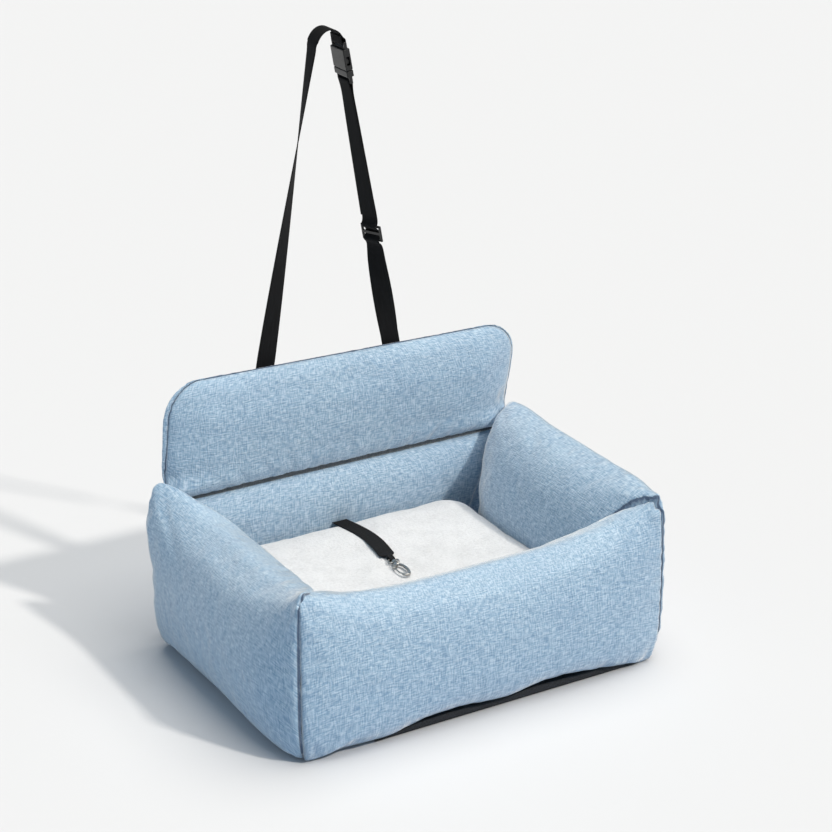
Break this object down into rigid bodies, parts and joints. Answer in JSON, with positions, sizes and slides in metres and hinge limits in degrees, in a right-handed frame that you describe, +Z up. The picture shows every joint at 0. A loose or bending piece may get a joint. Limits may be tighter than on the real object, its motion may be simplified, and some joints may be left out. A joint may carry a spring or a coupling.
{
  "type": "dog car bed",
  "caption": "Padded dog car bed with stuffed bolsters, a fold-back backrest, a loose plush pad, a headrest strap with side-release buckle and slider, and a safety tether with a swivel hook.",
  "frame": {"origin": "on the floor, under the middle of the whole object", "axes": "+Z up, +X towards the viewer's right, the low front bolster faces -Y and the backrest stands at +Y"},
  "size_m": [0.644, 0.4925, 0.8777],
  "materials": {
    "blue_linen": "matte woven",
    "fibre_fill": "soft fibre",
    "base_foam": "matte foam",
    "underside_cloth": "matte",
    "white_plush": "soft pile",
    "black_webbing": "ribbed weave",
    "black_plastic": "satin",
    "nickel": "polished"
  },
  "bodies": {
    "bed": {"front_bolster_cover": "blue_linen", "front_bolster_filling": "fibre_fill", "left_bolster_cover": "blue_linen", "left_bolster_filling": "fibre_fill", "right_bolster_cover": "blue_linen", "right_bolster_filling": "fibre_fill", "back_wall_cover": "blue_linen", "back_wall_filling": "fibre_fill", "base_foam": "base_foam", "underside_panel": "underside_cloth", "pad_cover": "white_plush", "pad_filling": "fibre_fill", "hinge_piping": "blue_linen", "tether_root": "black_webbing"},
    "backrest": {"backrest_cover": "blue_linen", "backrest_filling": "fibre_fill", "left_strap_patch": "black_webbing", "right_strap_patch": "black_webbing"},
    "strap": {"left_strap_webbing": "black_webbing", "right_strap_webbing": "black_webbing", "buckle_socket": "black_plastic"},
    "plug": {"buckle_plug": "black_plastic"},
    "slider": {"strap_slider": "black_plastic"},
    "tether": {"tether_webbing": "black_webbing"},
    "eye": {"swivel_eye": "nickel"},
    "hook": {"hook_body": "nickel", "gate_pin": "nickel"},
    "gate": {"hook_gate": "nickel"}
  },
  "joints": [
    {"name": "backrest_fold", "type": "hinge", "parent": "bed", "child": "backrest", "pos_m": [0, 0.2167, 0.221], "axis": [1, 0, 0], "range_deg": [-90, 0]},
    {"name": "strap_swing", "type": "hinge", "parent": "backrest", "child": "strap", "pos_m": [0, 0.231, 0.3723], "axis": [-1, 0, 0], "range_deg": [0, 135]},
    {"name": "buckle_release", "type": "slide", "parent": "strap", "child": "plug", "axis": [0.1736, 0, -0.9848], "range_m": [0, 0.034], "deforming": ["right_strap_webbing"]},
    {"name": "slider_slide", "type": "slide", "parent": "strap", "child": "slider", "axis": [-0.1736, 0, 0.9848], "range_m": [-0.1, 0.1]},
    {"name": "tether_lift", "type": "hinge", "parent": "bed", "child": "tether", "pos_m": [-0.006, 0.18395, 0.1315], "axis": [-1, 0, 0], "range_deg": [0, 70]},
    {"name": "hook_fold", "type": "hinge", "parent": "tether", "child": "eye", "pos_m": [-0.0055, 0.0215, 0.133], "axis": [-0.9945, 0.1045, 0], "range_deg": [0, 90]},
    {"name": "hook_swivel", "type": "hinge", "parent": "eye", "child": "hook", "pos_m": [-0.0055, 0.0215, 0.133], "axis": [-0.1045, -0.9945, 0], "continuous": true},
    {"name": "gate_open", "type": "hinge", "parent": "hook", "child": "gate", "pos_m": [-0.01195, 0.00185, 0.133], "axis": [0, 0, 1], "range_deg": [0, 15], "stiffness_Nm_per_rad": 0.01, "springref_deg": -17.19}
  ]
}
